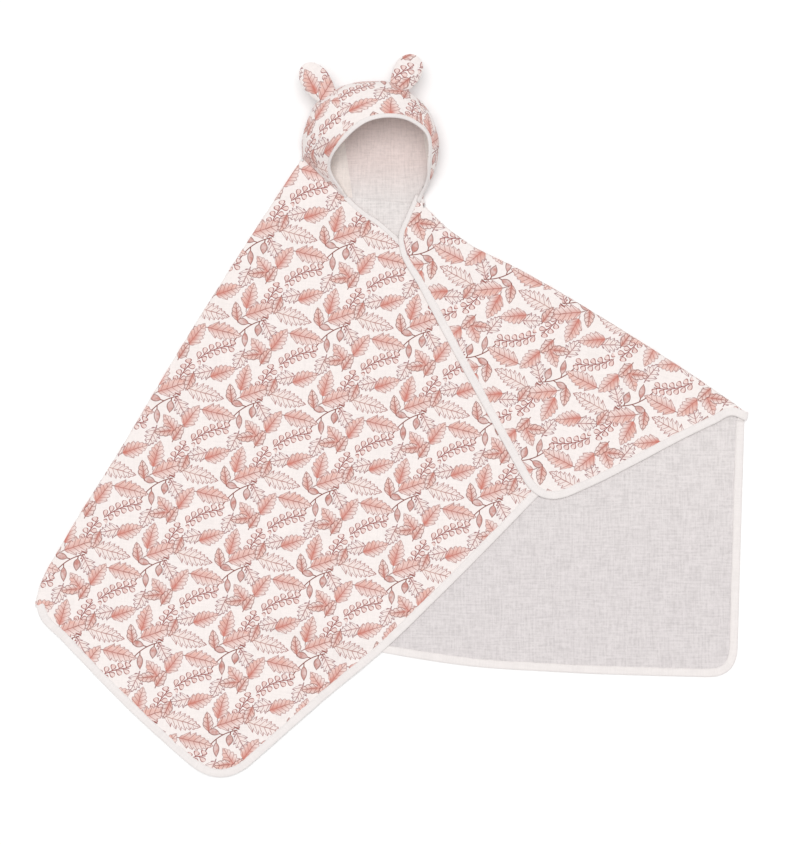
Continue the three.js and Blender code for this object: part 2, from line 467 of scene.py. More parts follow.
def gathers(points, seam, reach, wavelength, depth, seed):
    """Small folds that fan out from a gathered seam and fade with the distance from it."""
    away = distance_to_path(points, seam)
    start, end = seam[0], seam[-1]
    axis = (end - start) / np.linalg.norm(end - start)
    along = (points[:, :2] - start) @ axis
    phase = 2 * math.pi * along / wavelength + 1.3 * ripple(points, 0.05, seed)
    return depth * np.exp(-((away / reach) ** 2)) * (0.5 + 0.5 * np.sin(phase))


def soft_fold(points, start, end, width, height):
    """A soft crease that rises along a line and fades out at both of its ends."""
    line = plan(start, end)
    away = distance_to_path(points, line) / width
    return height * np.exp(-(away**2))


def lifted_at_fold(points, low, fold_line, crease):
    """Heights that rise to the top of a fold's crease near its line."""
    fold = np.exp(-distance_to_path(points, fold_line) / CREASE_SPREAD)
    high = FLOOR_CLEARANCE + 2 * crease
    return low * (1 - fold) + np.maximum(low, high) * fold


def left_top(points):
    """The left front lies on the back."""
    wave = 0.0011 * (0.5 + 0.5 * ripple(points, 0.11, 21)) + 0.0004 * ripple(points, 0.035, 22)
    low = back_top(points) + LAYER_CLEARANCE + CLOTH_PAIR + np.maximum(wave, 0)
    low = low + gathers(points, neck_seam_left, 0.030, 0.019, 0.0011, 23)
    for start, end, width, height in LEFT_FRONT_FOLDS:
        low = low + soft_fold(points, start, end, width, height)
    return lifted_at_fold(points, low, left_fold, LEFT_CREASE)


def left_lining_height(points):
    return left_top(points) - CLOTH_PAIR


def right_lining_height(points):
    return right_top(points) - CLOTH_PAIR


def right_top(points):
    """The right front lies on the left one where it can, and on the back elsewhere."""
    away = distance_to_path(points, left_free_loop)
    depth = np.where(is_inside(points, left_free_loop), away, -away)
    over = smoothstep(-0.014, 0.005, depth)
    wave = 0.0013 * (0.5 + 0.5 * ripple(points, 0.12, 31)) + 0.0004 * ripple(points, 0.04, 32)
    on_back = back_top(points) + LAYER_CLEARANCE + CLOTH_PAIR + PRESSED_LIFT
    on_left = left_top(points) + LAYER_CLEARANCE + CLOTH_PAIR
    low = on_back * (1 - over) + on_left * over + np.maximum(wave, 0)
    return lifted_at_fold(points, low, right_fold, RIGHT_CREASE)


# ---------------------------------------------------------------- meshes


def make_mesh(name, points, faces, uvs=None):
    """A smooth mesh object, with one UV coordinate for each of its points."""
    mesh = bpy.data.meshes.new(name)
    mesh.from_pydata([tuple(p) for p in points], [], [tuple(f) for f in faces])
    mesh.validate()
    if uvs is not None:
        layer = mesh.uv_layers.new(name="cloth")
        corner_points = np.empty(len(mesh.loops), dtype=np.int32)
        mesh.loops.foreach_get("vertex_index", corner_points)
        layer.data.foreach_set("uv", np.asarray(uvs, float)[corner_points].ravel())
    mesh.polygons.foreach_set("use_smooth", [True] * len(mesh.polygons))
    piece = bpy.data.objects.new(name, mesh)
    bpy.context.scene.collection.objects.link(piece)
    return piece


def fill_loop(loop, step=MESH):
    """Points and triangles that fill a plan loop. The loop's own points come first."""
    low, high = loop.min(axis=0), loop.max(axis=0)
    xs = np.arange(low[0], high[0], step)
    ys = np.arange(low[1], high[1], step * math.sqrt(3) / 2)
    grid = np.array([(x + (row % 2) * step / 2, y) for row, y in enumerate(ys) for x in xs])
    grid = grid[is_inside(grid, loop)]
    grid = grid[distance_to_path(grid, np.vstack([loop, loop[:1]])) > step * 0.6]
    points = np.vstack([loop, grid])
    count = len(loop)
    border = [(i, (i + 1) % count) for i in range(count)]
    found = delaunay_2d_cdt([Vector(p) for p in points], border, [], 1, 1e-7)
    new_points = np.array([tuple(p) for p in found[0]])
    place = {old: new for new, olds in enumerate(found[3]) for old in olds}
    return new_points, [tuple(f) for f in found[2]], place


def flat_cloth(name, loop, height, uv_turn, crease=None, facing_up=True):
    """One layer of cloth over a plan loop.

    height gives its height at each plan point. crease, where given, is (first, last, radius): the
    loop's points from first to last lie on a fold, and the cloth carries on round it.
    """
    points, faces, place = fill_loop(loop)
    solid = np.column_stack([points, height(points)])
    uvs = points.copy()
    if crease is not None:
        first, last, radius = crease
        row = [place[i] for i in range(first, last)]
        base = points[row]
        top = solid[row][:, 2]
        outward = -inward_of(loop[first:last])
        for step in range(1, CREASE_ROWS + 1):
            angle = math.pi * step / CREASE_ROWS
            height_here = np.maximum(top - radius * (1 - math.cos(angle)), FLOOR_CLEARANCE)
            next_row = [len(solid) + i for i in range(len(row))]
            places = base + outward * radius * math.sin(angle)
            solid = np.vstack([solid, np.column_stack([places, height_here])])
            uvs = np.vstack([uvs, base + outward * radius * angle])
            for i in range(len(row) - 1):
                faces.append((row[i], next_row[i], next_row[i + 1], row[i + 1]))
            row = next_row
    if not facing_up:
        faces = [tuple(reversed(f)) for f in faces]
    return make_mesh(name, solid, faces, turned(uvs, uv_turn))


def turned(uvs, degrees):
    """UV coordinates in metres of cloth, turned so that the print runs as it was cut."""
    angle = -math.radians(degrees)
    cos, sin = math.cos(angle), math.sin(angle)
    return uvs @ np.array([[cos, -sin], [sin, cos]]).T


def sweep(name, places, inwards, normals, widths, halves):
    """Folded tape along an edge: a flat rounded tube, widths wide and twice halves thick."""
    profile = [
        (1.00, 0.52), (0.97, 0.80), (0.80, 0.98), (0.50, 1.00), (0.22, 0.96), (0.06, 0.74),
        (0.00, 0.30), (0.00, -0.30), (0.06, -0.74), (0.22, -0.96), (0.50, -1.00), (0.80, -0.98),
        (0.97, -0.80), (1.00, -0.52),
    ]
    count = len(profile)
    along = lengths(places)
    points, uvs = [], []
    for i in range(len(places)):
        for j, (across, out) in enumerate(profile):
            points.append(places[i] + inwards[i] * across * widths[i] + normals[i] * out * halves[i])
            uvs.append((along[i], j / count * TAPE_WRAP))
    faces = []
    for i in range(len(places) - 1):
        for j in range(count):
            k = (j + 1) % count
            faces.append((i * count + j, i * count + k, (i + 1) * count + k, (i + 1) * count + j))
    faces.append(tuple(reversed(range(count))))
    faces.append(tuple(range((len(places) - 1) * count, len(places) * count)))
    return make_mesh(name, points, faces, uvs)


def flat_edge(path, height):
    """An edge that lies flat: its places in space, and its inward and upward directions."""
    inward = inward_of(path)
    middle = height(path + inward * BINDING_WIDTH / 2) - CLOTH_PAIR / 2
    middle = np.maximum(middle, BINDING_HALF + FLOOR_CLEARANCE)
    places = np.column_stack([path, middle])
    inwards = np.column_stack([inward, np.zeros(len(path))])
    normals = np.tile([0.0, 0.0, 1.0], (len(path), 1))
    return places, inwards, normals


def turn_under(end_place, end_inward, low_place, low_inward, outward, steps=9):
    """The stretch of an edge that goes round a fold, from its upper leaf down to its lower one."""
    radius = (end_place[2] - low_place[2]) / 2
    centre = (end_place + low_place) / 2
    out = np.array([*outward, 0.0])
    up = np.array([0.0, 0.0, 1.0])
    places, inwards, normals = [], [], []
    for step in range(1, steps + 1):
        angle = math.pi * step / steps
        share = step / steps
        inward = end_inward * (1 - share) + low_inward * share
        inwards.append(inward / np.linalg.norm(inward))
        normals.append(out * math.sin(angle) + up * math.cos(angle))
        places.append(centre + radius * (out * math.sin(angle) + up * math.cos(angle)))
    return np.array(places), np.array(inwards), np.array(normals)


def puckered(along, seed):
    """How the stitching draws the tape in and lets it swell, as factors of width and thickness."""
    random = np.random.default_rng(seed)
    wide, thick = np.zeros(len(along)), np.zeros(len(along))
    for wavelength, share in ((0.011, 0.5), (0.019, 0.35), (0.047, 0.4), (0.13, 0.4)):
        phase = random.uniform(0, 2 * math.pi, 2)
        drift = 1.4 * np.sin(along / (wavelength * 3.7) + phase[1])
        wide += share * np.sin(2 * math.pi * along / wavelength + phase[0] + drift)
        thick += share * np.sin(2 * math.pi * along / wavelength + phase[1] + drift)
    return 1 + 0.035 * wide, 1 + 0.13 * thick


def tape_width(places):
    """The tape is turned in more tightly round the neck and the face."""
    low, high = plan((0, 0.14), (0, 0.28))[:, 1]
    return BINDING_WIDTH * (1 - 0.42 * smoothstep(low, high, places[:, 1]))


def binding(name, stretches, seed):
    places, inwards, normals = (np.concatenate(parts) for parts in zip(*stretches))
    wide, thick = puckered(lengths(places), seed)
    return sweep(name, places, inwards, normals, tape_width(places) * wide, BINDING_HALF * thick)


STITCH_PITCH = 0.0031
STITCH_LENGTH = 0.0024
STITCH_MARGIN = 0.002
THREAD_RADIUS = 0.00022
STITCH_SHARE = 0.84  # how far across the tape the stitches lie
THREAD_SIDES = 5

# One stitch: the share of its length, and its thickness and rise there in thread radii.
STITCH_SHAPE = (
    (0.0, 0.15, -0.8),
    (0.18, 0.9, -0.1),
    (0.5, 1.0, 0.35),
    (0.82, 0.9, -0.1),
    (1.0, 0.15, -0.8),
)


def stitches(name, stretches, seed):
    """A row of topstitching near a tape's inner edge, on its upper side."""
    places, inwards, normals = (np.concatenate(parts) for parts in zip(*stretches))
    _, thick = puckered(lengths(places), seed)
    lift = BINDING_HALF * thick + THREAD_RADIUS * 0.2
    depth = STITCH_SHARE * tape_width(places)
    line = places + inwards * depth[:, None] + normals * lift[:, None]
    along = lengths(line)
    starts = np.arange(STITCH_MARGIN, along[-1] - 2 * STITCH_MARGIN, STITCH_PITCH)

    def at(where, values):
        return np.stack([np.interp(where, along, values[:, i]) for i in range(3)], axis=1)

    points, faces = [], []
    angles = np.linspace(0, 2 * math.pi, THREAD_SIDES, endpoint=False)
    ring = [(math.cos(angle), math.sin(angle)) for angle in angles]
    levels = [at(starts + share * STITCH_LENGTH, line) for share, _, _ in STITCH_SHAPE]
    ups = at(starts, normals)
    sides = at(starts, inwards)
    for i in range(len(starts)):
        base = len(points)
        for (_, size, rise), level in zip(STITCH_SHAPE, levels):
            for a, b in ring:
                offset = sides[i] * a * size + ups[i] * (b * size + rise)
                points.append(level[i] + offset * THREAD_RADIUS)
        tip = base + (len(STITCH_SHAPE) - 1) * THREAD_SIDES
        for row in range(base, tip, THREAD_SIDES):
            for j in range(THREAD_SIDES):
                n = (j + 1) % THREAD_SIDES
                faces.append((row + j, row + n, row + THREAD_SIDES + n, row + THREAD_SIDES + j))
        faces.append(tuple(base + j for j in reversed(range(THREAD_SIDES))))
        faces.append(tuple(tip + j for j in range(THREAD_SIDES)))
    return make_mesh(name, points, faces)


# ---------------------------------------------------------------- the flat leaves

PRINT_TURN = {"back": -4.0, "left": -4.0, "right": 163.0}

back_outer = flat_cloth("back_outer_cloth", back_loop, back_bottom, PRINT_TURN["back"], facing_up=False)
back_lining = flat_cloth("back_lining_cloth", back_loop, back_top, 0.0)

left_fold_first = len(left_bound) + len(neck_seam_left) - 1
left_outer = flat_cloth(
    "left_front_outer_cloth", left_loop, left_top, PRINT_TURN["left"],
    crease=(left_fold_first, len(left_loop), LEFT_CREASE),
)
left_lining = flat_cloth(
    "left_front_lining_cloth", left_loop, left_lining_height, 0.0, facing_up=False
)
right_fold_first = len(right_bound)
right_outer = flat_cloth(
    "right_front_outer_cloth", right_loop, right_top, PRINT_TURN["right"],
    crease=(right_fold_first, right_fold_first + len(right_fold) - 1, RIGHT_CREASE),
)
right_lining = flat_cloth(
    "right_front_lining_cloth", right_loop, right_lining_height, 0.0, facing_up=False
)

back_edge = flat_edge(back_bound, back_top)
left_edge = flat_edge(left_bound, left_top)
right_edge = flat_edge(right_bound, right_top)


def unit(vector):
    return np.asarray(vector, float) / np.linalg.norm(vector)


left_out = -inward_of(left_fold)[-1]
left_turn = turn_under(left_edge[0][0], left_edge[1][0], back_edge[0][0], back_edge[1][0], left_out)
left_turn = tuple(part[::-1] for part in left_turn)
right_out = -inward_of(right_fold)[0]
right_turn = turn_under(right_edge[0][-1], right_edge[1][-1], back_edge[0][-1], back_edge[1][-1], right_out)

BACK_SEED, LEFT_SEED, RIGHT_SEED, FACE_SEED = 5, 6, 7, 8
back_binding = binding("back_hem_tape", [back_edge], BACK_SEED)
left_binding = binding("left_front_tape", [left_turn, left_edge], LEFT_SEED)
right_binding = binding("right_front_tape", [right_edge, right_turn], RIGHT_SEED)
back_stitches = stitches("back_hem_topstitching", [back_edge], BACK_SEED)
left_stitches = stitches("left_front_topstitching", [left_turn, left_edge], LEFT_SEED)
right_stitches = stitches("right_front_topstitching", [right_edge, right_turn], RIGHT_SEED)

# ---------------------------------------------------------------- the hood

GUSSET_HALF = 0.057
GUSSET_MIDDLE = 0.021
HOOD_TILT = math.radians(8)
HOOD_DIRECTIONS = 220
RIM_ROWS = 16
UNDER_ROWS = 16
UNDER_SQUARENESS = 2.6
HOOD_GATHER = 1.2  # the hood's gathers draw its print together
LINING_GAP = 0.0003
SEAM_WIDTH = 0.0028
SEAM_DEPTH = 0.011  # how far a seam is drawn in, as a share of the distance from the middle
SEAM_RIDGE = 0.0012  # how far the seams of the lining stand up
SIDE_PUFF = 0.005  # how far the side panels of the lining stand up
LEAST_BRIM = 0.004
STEEPEST_BRIM = 2.5
CAMERA_HEIGHT = CAMERA_LENS / CAMERA_SENSOR * VIEW_WIDTH
VIEW_POINT = plan(VIEW_CENTRE)[0]
hood_centre = plan((-0.029, 0.385))[0]


def raised(*points):
    """Points (x, y, height) seen from above, moved in so that they still look right when raised."""
    points = np.array(points, float)
    heights = points[:, 2:]
    seen = points[:, :2] + SHIFT
    return np.hstack([VIEW_POINT + (seen - VIEW_POINT) * (1 - heights / CAMERA_HEIGHT), heights])


rim = smooth_path(
    raised(
        (-0.064, 0.317, 0.010),
        (-0.088, 0.358, 0.036),
        (-0.067, 0.399, 0.074),
        (-0.032, 0.426, 0.085),
        (0.026, 0.427, 0.086),
        (0.049, 0.411, 0.080),
        (0.054, 0.365, 0.056),
        (0.049, 0.333, 0.028),
        (0.037, 0.312, 0.011),
    ),
    HOOD_STEP,
)
hood_side = smooth_path(
    raised(
        (*NECK_LEFT, 0.006),
        (-0.127, 0.408, 0.030),
        (-0.104, 0.457, 0.040),
        (-0.055, 0.481, 0.042),
        (-0.006, 0.483, 0.042),
        (0.042, 0.456, 0.042),
        (0.070, 0.390, 0.040),
        (0.058, 0.341, 0.026),
        (0.047, 0.324, 0.012),
        (*NECK_RIGHT, 0.004),
    ),
    HOOD_STEP,
)
hood_neck = np.array([[*NECK_RIGHT, 0.003], [*RIM_LEFT, 0.003], [*NECK_LEFT, 0.006]]) + [*SHIFT, 0]
hood_outline = np.concatenate([hood_side[:-1], resample(hood_neck, HOOD_STEP)])
rim_closing = resample(np.array([rim[-1], hood_neck[0], hood_neck[1], rim[0]]), HOOD_STEP)
rim_loop = np.concatenate([rim, rim_closing[1:-1]])


def by_direction(loop, directions):
    """The distance from the hood's centre and the height of a closed loop, in each direction."""
    offset = loop[:, :2] - hood_centre
    angle = np.arctan2(offset[:, 1], offset[:, 0])
    order = np.argsort(angle)
    radius = np.hypot(*offset.T)

    def wrap(values):
        return np.interp(directions, angle[order], values[order], period=2 * math.pi)

    return wrap(radius), wrap(loop[:, 2])


def hood_rows(inset):
    """Rings of points from the rim, out over the brim and down to the middle of the underside."""
    directions = np.linspace(-math.pi, math.pi, HOOD_DIRECTIONS, endpoint=False)
    heading = np.column_stack([np.cos(directions), np.sin(directions)])
    rim_radius, rim_height = by_direction(rim_loop, directions)
    side_radius, side_height = by_direction(hood_outline, directions)
    side_radius = side_radius - inset
    rim_radius = np.minimum(rim_radius, side_radius * 0.995)
    start = np.arcsin(rim_radius / side_radius)
    floor = FLOOR_CLEARANCE + inset
    side_height = np.maximum(side_height, floor)
    rim_height = np.maximum(rim_height - inset * 0.8, side_height)
    rows = []
    for k in range(RIM_ROWS + 1):
        angle = start + (math.pi / 2 - start) * k / RIM_ROWS
        radius = side_radius * np.sin(angle)
        height = side_height + (rim_height - side_height) * np.cos(angle) / np.cos(start)
        rows.append(np.column_stack([hood_centre + heading * radius[:, None], height]))
    rows.append(rows[-1].copy())
    for k in range(1, UNDER_ROWS + 1):
        share = 1 - (k / UNDER_ROWS) ** 1.7
        drop = (1 - share**UNDER_SQUARENESS) ** (1 / UNDER_SQUARENESS)
        radius = side_radius * max(share, 0.0005)
        height = side_height - (side_height - floor) * drop
        rows.append(np.column_stack([hood_centre + heading * radius[:, None], height]))
    return rows, heading, side_radius


def gusset_across(points):
    """How far points lie across the hood from the middle of its gusset."""
    offset = points[:, :2] - hood_centre
    return offset @ (math.cos(HOOD_TILT), math.sin(HOOD_TILT)) - GUSSET_MIDDLE


def hood_shell(name, inset, facing_out, seam_way, seed):
    """The whole bag of one layer of the hood.

    seam_way is -1 where its seams are drawn in and 1 where they stand out.
    """
    rows, heading, side_radius = hood_rows(inset)
    count = HOOD_DIRECTIONS
    points = np.concatenate(rows)
    down = [np.linalg.norm(rows[k + 1] - rows[k], axis=1) for k in range(len(rows) - 1)]
    travelled = np.concatenate([[np.zeros(count)], np.cumsum(down, axis=0)])
    reach = side_radius[None, :] + travelled - travelled[RIM_ROWS][None, :]
    uvs = (heading[None, :, :] * reach[:, :, None]).reshape(-1, 2)
    spread = points[:, :2] + np.tile(heading, (len(rows), 1)) * points[:, 2:]
    under = np.repeat(np.arange(len(rows)) > RIM_ROWS, count)
    if not facing_out:
        under[:] = True
    uvs[under] = spread[under]
    if facing_out:
        uvs = uvs * HOOD_GATHER
    middle = np.array([*hood_centre, 0.03])
    near_seam = np.exp(-(((np.abs(gusset_across(points)) - GUSSET_HALF) / SEAM_WIDTH) ** 2))
    relief = 0.010 * ripple(points + points[:, 2:] * 0.7, 0.045, seed) * 0.6
    relief = relief + 0.004 * ripple(points, 0.017, seed + 1)
    lifted = smoothstep(0.006, 0.03, points[:, 2])
    scale = 1 + lifted * (seam_way * SEAM_DEPTH * near_seam + relief)
    points = middle + (points - middle) * scale[:, None]
    points[:, 2] = np.maximum(points[:, 2], FLOOR_CLEARANCE + inset)
    if not facing_out:
        beside = smoothstep(-0.001, 0.007, np.abs(gusset_across(points)) - GUSSET_HALF)
        near_neck = smoothstep(0.0, 0.012, distance_to_path(points[:, :2], hood_neck[:2, :2]))
        points[:, 2] += (SIDE_PUFF * beside + SEAM_RIDGE * near_seam) * near_neck * (1 - lifted)
    faces = []
    for k in range(len(rows) - 1):
        if k == RIM_ROWS:
            continue
        for j in range(count):
            n = (j + 1) % count
            face = (k * count + j, (k + 1) * count + j, (k + 1) * count + n, k * count + n)
            faces.append(face if facing_out else face[::-1])
    return make_mesh(name, points, faces, uvs)


def hood_panel(name, shell, side, print_shift):
    """The part of a hood shell on one side of its seams: -1 left, 0 the gusset, 1 right."""
    panel = shell.copy()
    panel.data = shell.data.copy()
    panel.name = name
    panel.data.name = name
    bpy.context.scene.collection.objects.link(panel)
    across = Vector((math.cos(HOOD_TILT), math.sin(HOOD_TILT), 0))
    middle = Vector((*hood_centre, 0)) + across * GUSSET_MIDDLE
    cloth = bmesh.new()
    cloth.from_mesh(panel.data)
    cuts = {-1: [(-1, True)], 0: [(-1, False), (1, True)], 1: [(1, False)]}[side]
    for seam, clear_right in cuts:
        bmesh.ops.bisect_plane(
            cloth,
            geom=cloth.verts[:] + cloth.edges[:] + cloth.faces[:],
            plane_co=middle + across * GUSSET_HALF * seam,
            plane_no=across,
            clear_outer=clear_right,
            clear_inner=not clear_right,
        )
    layer = cloth.loops.layers.uv["cloth"]
    for face in cloth.faces:
        for corner in face.loops:
            corner[layer].uv += Vector(print_shift)
    cloth.to_mesh(panel.data)
    cloth.free()
    return panel


HOOD_SIDES = {"left": (-1, (0.021, 0.047)), "gusset": (0, (0.0, 0.0)), "right": (1, (0.062, 0.013))}
outer_shell = hood_shell("hood_outer_shell", 0.0, True, -1, 41)
lining_shell = hood_shell("hood_lining_shell", CLOTH_PAIR + LINING_GAP, False, 1, 43)
hood_outer = {
    key: hood_panel(f"hood_outer_{key}_cloth", outer_shell, side, shift)
    for key, (side, shift) in HOOD_SIDES.items()
}
hood_lining = {
    key: hood_panel(f"hood_lining_{key}_cloth", lining_shell, side, shift)
    for key, (side, shift) in HOOD_SIDES.items()
}
for shell in (outer_shell, lining_shell):
    bpy.data.objects.remove(shell)



def face_edge():
    """The edge that the face binding is folded over: it runs along the rim and lies over the brim."""
    offset = rim[:, :2] - hood_centre
    radius = np.hypot(*offset.T)
    heading = np.column_stack([offset / radius[:, None], np.zeros(len(rim))])
    side_radius, side_height = by_direction(hood_outline, np.arctan2(offset[:, 1], offset[:, 0]))
    reach = np.maximum(side_radius - radius, LEAST_BRIM)
    fall = np.maximum(rim[:, 2] - side_height, 0.0)
    slope = np.minimum(fall / reach * radius / side_radius, STEEPEST_BRIM)
    inward = unit_rows(heading - np.column_stack([np.zeros((len(rim), 2)), slope]))
    normal = np.cross(inward, unit_rows(np.gradient(rim, axis=0)))
    normal *= np.sign(normal[:, 2:])
    return rim, inward, unit_rows(normal)


rim_edge = face_edge()
face_binding = binding("hood_face_tape", [rim_edge], FACE_SEED)
face_stitches = stitches("hood_face_topstitching", [rim_edge], FACE_SEED)

# ---------------------------------------------------------------- the ears

EAR_HALF_WIDTH = 0.0205
EAR_HALF_THICKNESS = 0.0085
EAR_BASE_SHARE = 0.64
EAR_TUCK = 0.0100
EAR_INSET = 0.003
EAR_FILLING_SHARE = 0.86
EAR_ROWS = 30
EAR_COLUMNS = 26


def ear_half_width(t):
    """Half the ear's width at a share of its length: narrow at the base, round at the tip."""
    widest = 0.54
    low = EAR_BASE_SHARE + (1 - EAR_BASE_SHARE) * np.sin(math.pi / 2 * np.clip(t / widest, 0, 1))
    high = np.sqrt(np.clip(1 - ((t - widest) / (1 - widest)) ** 2, 0, 1))
    return EAR_HALF_WIDTH * np.where(t < widest, low, high)


def ear_surface(name, base, lean, length, side, shrink, seed):
    """One domed face of an ear: side is 1 for the front and -1 for the back.

    Its base is an open edge, tucked into the hood.
    """
    points, uvs = [], []
    for i in range(EAR_ROWS + 1):
        t = math.sin(math.pi / 2 * i / EAR_ROWS) * (1 - 1e-4)
        for j in range(EAR_COLUMNS + 1):
            s = math.sin(math.pi / 2 * (2 * j / EAR_COLUMNS - 1))
            width = float(ear_half_width(np.array(t)))
            dome = (1 - s * s) ** 0.6 * (1 - t**5) ** 0.5 * (0.6 + 0.4 * math.sin(math.pi * min(t * 1.1, 1)))
            x = width * s * shrink
            y = -EAR_TUCK + (length + EAR_TUCK) * (t if shrink == 1 else 0.08 + 0.86 * t)
            points.append((x, y, side * EAR_HALF_THICKNESS * dome * shrink))
            uvs.append((x, y))
    points, uvs = np.array(points), np.array(uvs)
    puckers = ripple(points + points[:, 2:], 0.016, seed) * 0.0007
    puckers = puckers + ripple(points, 0.007, seed + 1) * 0.00025
    inside = np.abs(points[:, 2]) / EAR_HALF_THICKNESS
    points[:, 2] += side * puckers * np.clip(inside * 2, 0, 1)
    turn = np.array([[math.cos(lean), -math.sin(lean)], [math.sin(lean), math.cos(lean)]])
    points[:, :2] = points[:, :2] @ turn.T
    row = EAR_COLUMNS + 1
    faces = []
    for i in range(EAR_ROWS):
        for j in range(EAR_COLUMNS):
            face = (i * row + j, i * row + j + 1, (i + 1) * row + j + 1, (i + 1) * row + j)
            faces.append(face if side > 0 else face[::-1])
    return make_mesh(name, points + base, faces, uvs * (1, side) + (0.03 * seed, 0.017 * seed))


def make_ear(name, joint, lean, length, seed):
    base = np.array(joints[joint]["pos_m"], float) - [0.0, EAR_INSET, 0.0]
    front = ear_surface(f"{name}_front_cloth", base, lean, length, 1, 1.0, seed)
    back = ear_surface(f"{name}_back_cloth", base, lean, length, -1, 1.0, seed + 3)
    filling = ear_surface(f"{name}_filling", base, lean, length, 1, EAR_FILLING_SHARE, seed + 6)
    under = ear_surface(f"{name}_filling_under", base, lean, length, -1, EAR_FILLING_SHARE, seed + 6)
    pad = join([filling, under])
    return front, back, pad


def join(parts):
    """Joins mesh objects into the first of them."""
    whole = bmesh.new()
    for part in parts:
        whole.from_mesh(part.data)
    bmesh.ops.remove_doubles(whole, verts=whole.verts, dist=1e-5)
    whole.to_mesh(parts[0].data)
    whole.free()
    for part in parts[1:]:
        bpy.data.objects.remove(part)
    return parts[0]


ears = {
    "left_ear": make_ear("left_ear", "left_ear_flop", math.radians(37), 0.051, 1),
    "right_ear": make_ear("right_ear", "right_ear_flop", math.radians(-30), 0.043, 2),
}

# ---------------------------------------------------------------- node arithmetic


class Field:
    """A number that varies over a surface, held by a node's output, with the usual arithmetic."""

    def __init__(self, tree, socket):
        self.tree = tree
        self.socket = socket

    def math(self, operation, *others):
        node = self.tree.nodes.new("ShaderNodeMath")
        node.operation = operation
        for slot, value in zip(node.inputs, (self, *others)):
            if isinstance(value, Field):
                self.tree.links.new(value.socket, slot)
            else:
                slot.default_value = value
        return Field(self.tree, node.outputs[0])

    def __add__(self, other):
        return self.math("ADD", other)

    def __sub__(self, other):
        return self.math("SUBTRACT", other)

    def __mul__(self, other):
        return self.math("MULTIPLY", other)

    def __truediv__(self, other):
        return self.math("DIVIDE", other)

    def __abs__(self):
        return self.math("ABSOLUTE")

    def __neg__(self):
        return self.math("MULTIPLY", -1.0)

    def power(self, other):
        return self.math("POWER", other)

    def sin(self):
        return self.math("SINE")

    def fract(self):
        return self.math("FRACT")

    def most(self, other):
        return self.math("MAXIMUM", other)

    def least(self, other):
        return self.math("MINIMUM", other)

    def below(self, other):
        return self.math("LESS_THAN", other)

    def step(self, low, high):
        """0 up to low and 1 from high, smooth between them. low may be the higher of the two."""
        node = self.tree.nodes.new("ShaderNodeMapRange")
        node.interpolation_type = "SMOOTHSTEP"
        rising = low < high
        values = (0.0, 1.0) if rising else (1.0, 0.0)
        for slot, value in zip(node.inputs[1:5], (min(low, high), max(low, high), *values)):
            slot.default_value = value
        self.tree.links.new(self.socket, node.inputs[0])
        return Field(self.tree, node.outputs[0])


def vector_math(tree, operation, *values):
    node = tree.nodes.new("ShaderNodeVectorMath")
    node.operation = operation
    for slot, value in zip(node.inputs, values):
        if hasattr(value, "is_linked"):
            tree.links.new(value, slot)
        else:
            slot.default_value = value
    return node.outputs["Value" if operation in ("LENGTH", "DISTANCE") else "Vector"]


def split(tree, vector):
    node = tree.nodes.new("ShaderNodeSeparateXYZ")
    tree.links.new(vector, node.inputs[0])
    return Field(tree, node.outputs[0]), Field(tree, node.outputs[1])


def noise(tree, vector, scale, detail=2.0, roughness=0.5):
    node = tree.nodes.new("ShaderNodeTexNoise")
    node.inputs["Scale"].default_value = scale
    node.inputs["Detail"].default_value = detail
    node.inputs["Roughness"].default_value = roughness
    tree.links.new(vector, node.inputs["Vector"])
    return Field(tree, node.outputs["Fac"])


def mix(tree, colour_a, colour_b, amount, blend="MIX"):
    """colour_a where amount is 0 and colour_b where it is 1."""
    node = tree.nodes.new("ShaderNodeMix")
    node.data_type = "RGBA"
    node.blend_type = blend
    for slot, value in ((node.inputs[0], amount), (node.inputs[6], colour_a), (node.inputs[7], colour_b)):
        if isinstance(value, Field):
            tree.links.new(value.socket, slot)
        elif hasattr(value, "is_linked"):
            tree.links.new(value, slot)
        elif isinstance(value, tuple):
            slot.default_value = (*value, 1.0)
        else:
            slot.default_value = value
    return node.outputs[2]


def new_group(name, numbers, outputs):
    """A node group that takes a vector and some numbers, and gives numbers."""
    tree = bpy.data.node_groups.new(name, "ShaderNodeTree")
    tree.interface.new_socket("Vector", in_out="INPUT", socket_type="NodeSocketVector")
    for label in numbers:
        tree.interface.new_socket(label, in_out="INPUT", socket_type="NodeSocketFloat")
    for label in outputs:
        tree.interface.new_socket(label, in_out="OUTPUT", socket_type="NodeSocketFloat")
    return tree, tree.nodes.new("NodeGroupInput").outputs, tree.nodes.new("NodeGroupOutput").inputs


def use_group(tree, group, vector, numbers):
    node = tree.nodes.new("ShaderNodeGroup")
    node.node_tree = group
    tree.links.new(vector, node.inputs["Vector"])
    for label, value in numbers.items():
        node.inputs[label].default_value = value
    return {output.name: Field(tree, output) for output in node.outputs}


STUDIO_LIGHT = 1.13  # how much brighter than its own colour the studio shows a cloth


def srgb(red, green, blue):
    """The cloth colour that looks like this on a screen, from 0 to 255, under the studio light."""
    return tuple(((c / 255 + 0.055) / 1.055) ** 2.4 / STUDIO_LIGHT for c in (red, green, blue))


# ---------------------------------------------------------------- the leaf print

TILE = 0.119
LINE = 0.0011  # the width of a drawn line


